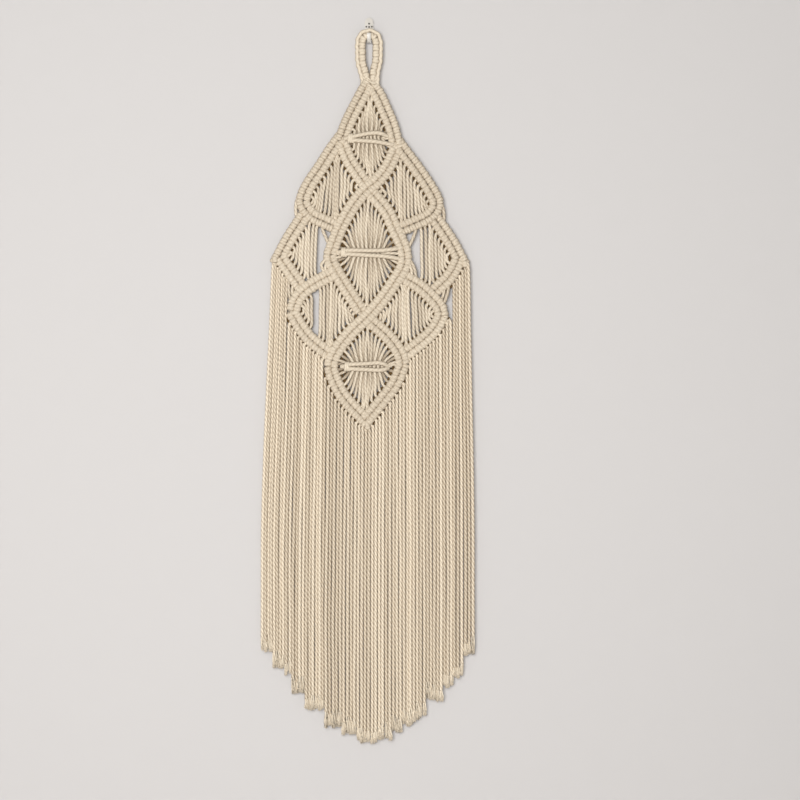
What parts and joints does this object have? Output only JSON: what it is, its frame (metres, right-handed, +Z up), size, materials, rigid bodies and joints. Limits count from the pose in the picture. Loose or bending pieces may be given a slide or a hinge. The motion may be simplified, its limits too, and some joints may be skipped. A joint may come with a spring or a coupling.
{
  "type": "macrame wall hanging with wall hook",
  "caption": "Long knotted cotton wall hanging with a diamond lattice, gathered strands and a pointed fringe, on a small pinned wall hook.",
  "frame": {"origin": "the back face of the hook's plate, on the wall, in the middle of the hanging", "axes": "+Y into the wall, +Z up along the hanging's length, +X to the viewer's right"},
  "size_m": [0.2996, 0.0187, 1.0193],
  "materials": {
    "cotton": "matt twisted cotton cord",
    "plastic": "smooth white moulding",
    "steel": "dark polished pin heads"
  },
  "bodies": {
    "root": {"hook_plate": "plastic", "hook_pin_1": "steel", "hook_pin_2": "steel", "hook_pin_3": "steel", "hook_pin_4": "steel", "hanging_loop": "cotton", "knotted_panel": "cotton", "fringe_wing_left": "cotton", "fringe_side_left": "cotton", "fringe_tip": "cotton", "fringe_side_right": "cotton", "fringe_wing_right": "cotton"}
  },
  "joints": []
}
